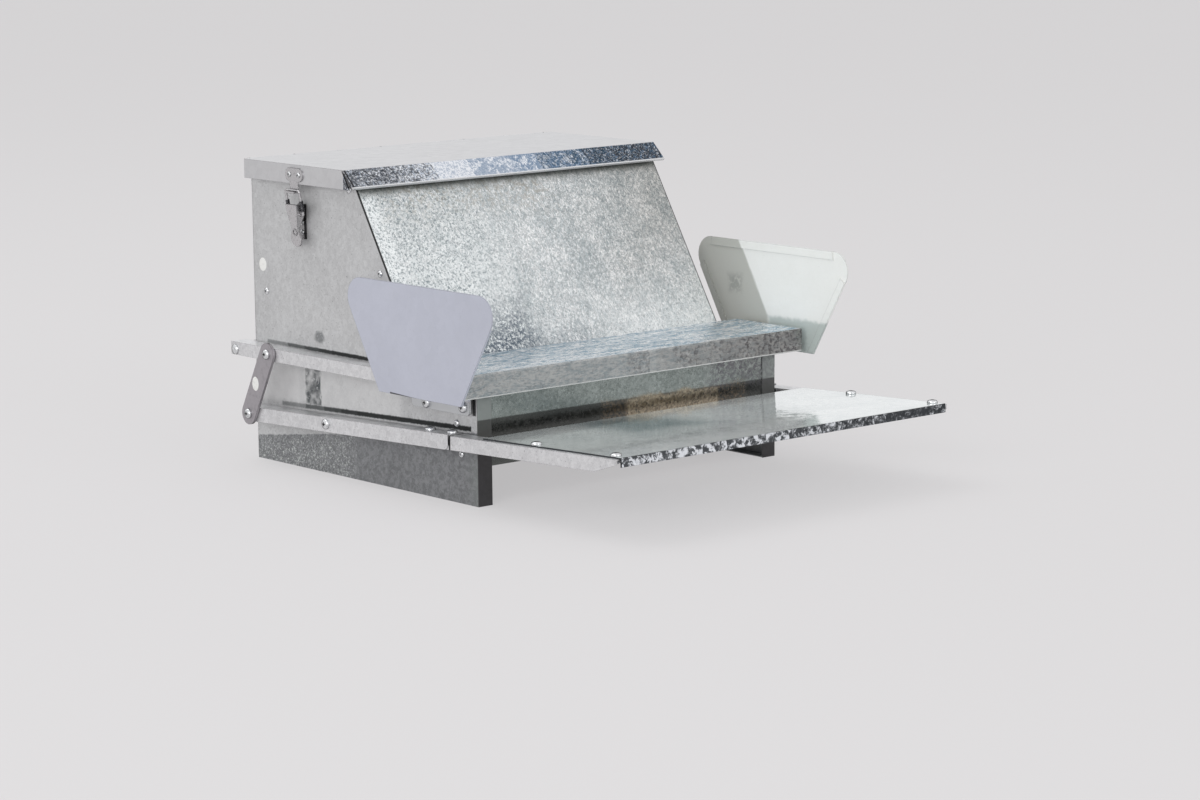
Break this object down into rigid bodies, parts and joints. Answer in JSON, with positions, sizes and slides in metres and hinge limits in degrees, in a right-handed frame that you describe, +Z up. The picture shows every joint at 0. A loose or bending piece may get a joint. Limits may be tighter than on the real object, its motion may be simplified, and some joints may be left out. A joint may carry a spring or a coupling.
{
  "type": "treadle poultry feeder",
  "caption": "Sheet-steel treadle feeder: stepping on the front plate lifts a winged trough lid through side links; a hinged, latched lid closes the hopper.",
  "frame": {"origin": "on the ground, under the centre of the feeder's box (treadle plate front to arm tails)", "axes": "+X to the right seen from the front, +Y to the back, +Z up; the bird steps on from -Y"},
  "size_m": [0.418, 0.5448, 0.28],
  "materials": {
    "body_sheet": "matt galvanised sheet with faint spangle",
    "slope_sheet": "galvanised sheet with strong bluish spangle",
    "lid_sheet": "bright galvanised sheet",
    "trough_lid_sheet": "bright galvanised sheet",
    "wing_sheet": "smooth galvanised sheet",
    "treadle_sheet": "smooth galvanised sheet, worn bright",
    "link_bar": "zinc-plated flat bar",
    "arm_sheet": "galvanised folded section",
    "latch_nickel": "nickel-plated steel",
    "spring_wire": "plated spring wire",
    "zinc_fasteners": "bright zinc-plated steel"
  },
  "bodies": {
    "hopper_body": {"side_panel_left": "body_sheet", "side_panel_right": "body_sheet", "back_panel": "body_sheet", "hopper_front_panel": "slope_sheet", "trough_front_panel": "body_sheet", "feed_ramp": "body_sheet", "body_rivets": "zinc_fasteners", "treadle_pivot_bolts": "zinc_fasteners", "treadle_pivot_bushes": "zinc_fasteners", "rear_pivot_bracket_left": "arm_sheet", "rear_pivot_bracket_right": "arm_sheet", "rear_pivot_rod": "zinc_fasteners", "hinge_leaf": "arm_sheet", "hinge_pin": "zinc_fasteners", "latch_base_left": "latch_nickel", "latch_base_right": "latch_nickel", "latch_base_rivets": "zinc_fasteners", "latch_pins": "zinc_fasteners"},
    "treadle": {"lower_arm_left": "arm_sheet", "lower_arm_right": "arm_sheet", "treadle_rail_left": "arm_sheet", "treadle_rail_right": "arm_sheet", "treadle_plate": "treadle_sheet", "treadle_plate_bolts": "zinc_fasteners", "arm_joint_bolts": "zinc_fasteners", "link_bolts_lower": "zinc_fasteners"},
    "trough_lid_frame": {"upper_arm_left": "arm_sheet", "upper_arm_right": "arm_sheet", "trough_lid": "trough_lid_sheet", "wing_left": "wing_sheet", "wing_right": "wing_sheet", "wing_bracket_left": "arm_sheet", "wing_bracket_right": "arm_sheet", "wing_bolts": "zinc_fasteners", "link_bolts_upper": "zinc_fasteners"},
    "link_left": {"link_left": "link_bar"},
    "link_right": {"link_right": "link_bar"},
    "hopper_lid": {"hopper_lid": "lid_sheet", "latch_catch_left": "latch_nickel", "latch_catch_right": "latch_nickel", "catch_rivets": "zinc_fasteners"},
    "latch_lever_left": {"latch_lever_left": "latch_nickel"},
    "latch_lever_right": {"latch_lever_right": "latch_nickel"},
    "latch_bail_left": {"latch_bail_left": "latch_nickel", "latch_springs_left": "spring_wire"},
    "latch_bail_right": {"latch_bail_right": "latch_nickel", "latch_springs_right": "spring_wire"}
  },
  "joints": [
    {"name": "treadle_rock", "type": "hinge", "parent": "hopper_body", "child": "treadle", "pos_m": [0, 0.12645, 0.0507], "axis": [1, 0, 0], "range_deg": [0, 7.5]},
    {"name": "trough_lid_lift", "type": "hinge", "parent": "hopper_body", "child": "trough_lid_frame", "pos_m": [0, 0.26605, 0.1033], "axis": [-1, 0, 0], "range_deg": [0, 18.75]},
    {"name": "link_left_swing", "type": "hinge", "parent": "treadle", "child": "link_left", "pos_m": [0, 0.24345, 0.046], "axis": [-1, 0, 0], "range_deg": [0, 11]},
    {"name": "link_right_swing", "type": "hinge", "parent": "treadle", "child": "link_right", "pos_m": [0, 0.24345, 0.046], "axis": [-1, 0, 0], "range_deg": [0, 11]},
    {"name": "hopper_lid_hinge", "type": "hinge", "parent": "hopper_body", "child": "hopper_lid", "pos_m": [0, 0.2631, 0.27695], "axis": [-1, 0, 0], "range_deg": [0, 105]},
    {"name": "latch_lever_left_turn", "type": "hinge", "parent": "hopper_body", "child": "latch_lever_left", "pos_m": [-0.1845, 0.18065, 0.24], "axis": [0, 1, 0], "range_deg": [0, 105]},
    {"name": "latch_bail_left_turn", "type": "hinge", "parent": "latch_lever_left", "child": "latch_bail_left", "pos_m": [-0.1829, 0.18065, 0.2342], "axis": [0, -1, 0], "range_deg": [0, 86]},
    {"name": "latch_lever_right_turn", "type": "hinge", "parent": "hopper_body", "child": "latch_lever_right", "pos_m": [0.1845, 0.18065, 0.24], "axis": [0, -1, 0], "range_deg": [0, 105]},
    {"name": "latch_bail_right_turn", "type": "hinge", "parent": "latch_lever_right", "child": "latch_bail_right", "pos_m": [0.1829, 0.18065, 0.2342], "axis": [0, 1, 0], "range_deg": [0, 86]}
  ],
  "couplings": [
    {"joint": "trough_lid_lift", "follows": "treadle_rock", "ratio": 2.46},
    {"joint": "link_left_swing", "follows": "treadle_rock", "ratio": 1.42},
    {"joint": "link_right_swing", "follows": "treadle_rock", "ratio": 1.42},
    {"joint": "latch_bail_left_turn", "follows": "latch_lever_left_turn", "ratio": 0.81},
    {"joint": "latch_bail_right_turn", "follows": "latch_lever_right_turn", "ratio": 0.81}
  ]
}
